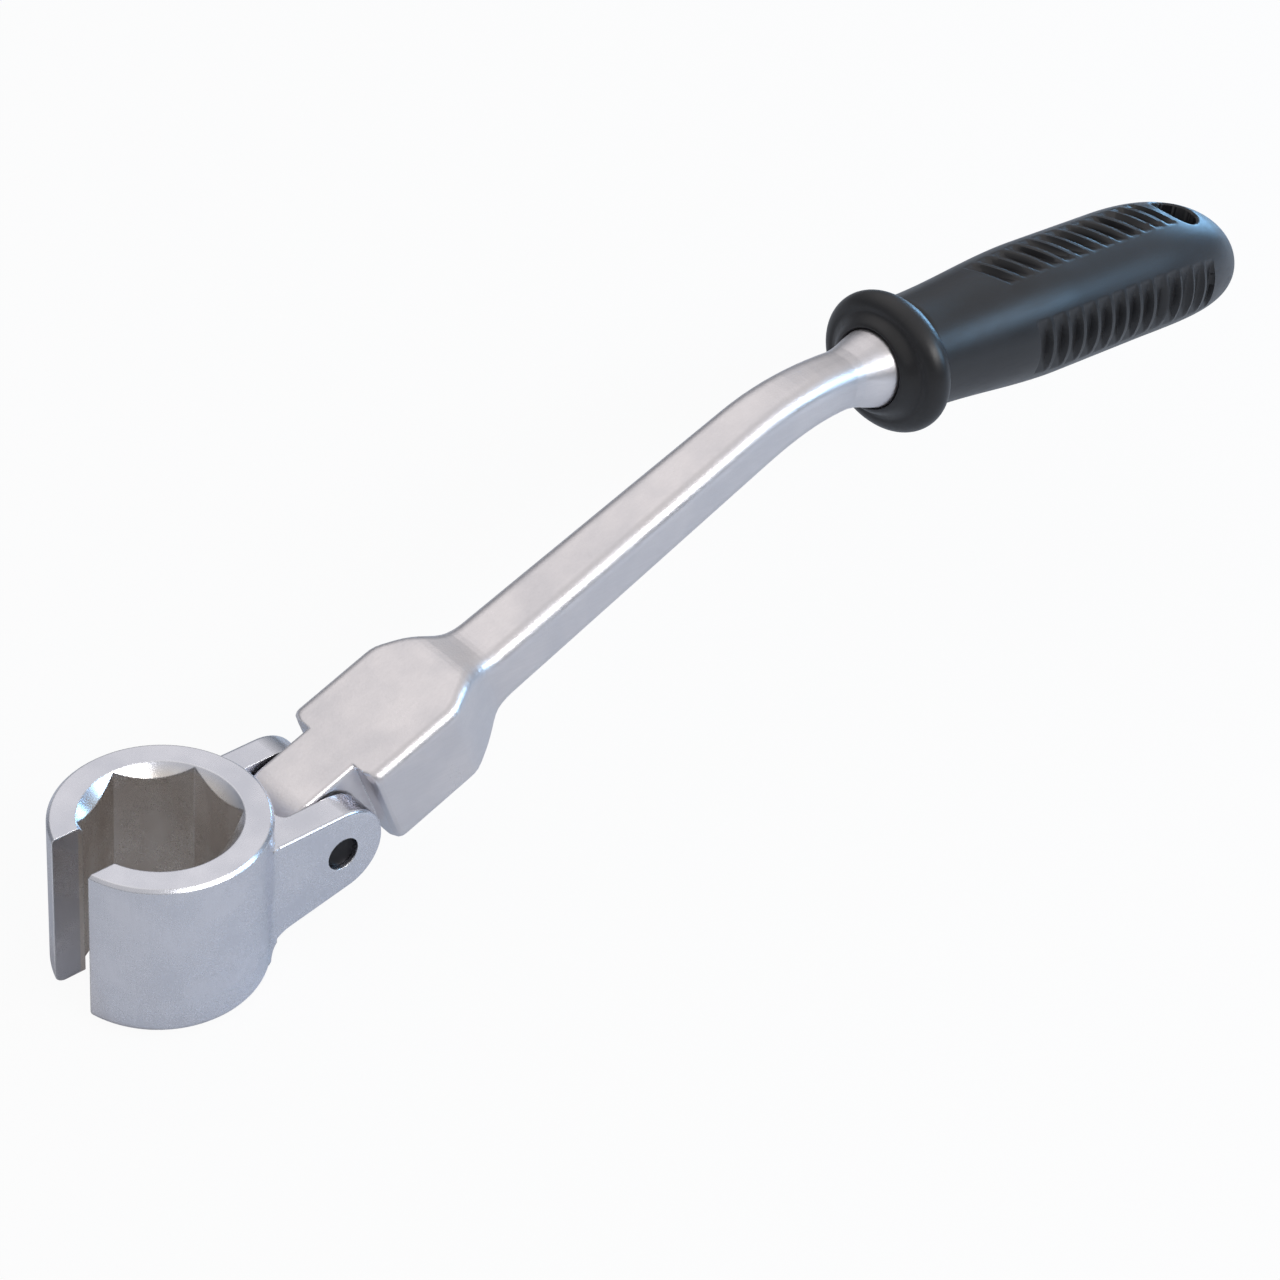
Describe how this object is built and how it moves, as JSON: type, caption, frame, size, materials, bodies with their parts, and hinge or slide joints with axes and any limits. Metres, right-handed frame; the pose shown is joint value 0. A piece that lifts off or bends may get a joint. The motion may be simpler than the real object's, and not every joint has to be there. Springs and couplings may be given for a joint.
{
  "type": "flex-head sensor socket wrench",
  "caption": "Slotted six-point sensor socket on a hinged clevis head, turned by a cranked forged bar with a ribbed plastic grip.",
  "frame": {"origin": "on the socket's axis, in the plane of its mouth", "axes": "+Z out of the socket's mouth, +X along the clevis towards the handle, +Y across the hinge"},
  "size_m": [0.2732, 0.0348, 0.0692],
  "materials": {
    "socket_head": "fine satin chrome plate",
    "hinge_pin": "black oxide",
    "friction_ball": "polished bearing steel",
    "friction_spring": "oiled spring wire",
    "drive_bar": "bead-blasted satin chrome plate",
    "grip": "moulded, soft sheen"
  },
  "bodies": {
    "head": {"socket_head": "socket_head", "hinge_pin": "hinge_pin"},
    "bar": {"drive_bar": "drive_bar", "grip": "grip", "friction_spring": "friction_spring"},
    "ball": {"friction_ball": "friction_ball"}
  },
  "joints": [
    {"name": "head_tilt", "type": "hinge", "parent": "head", "child": "bar", "pos_m": [0.0269, 0, -0.0138], "axis": [0, -1, 0], "range_deg": [-100, 68]},
    {"name": "ball_press", "type": "slide", "parent": "bar", "child": "ball", "axis": [0, -1, 0], "range_m": [0, 0.0003], "stiffness_N_per_m": 1500, "springref_m": -0.0015, "deforming": ["friction_spring"]}
  ]
}
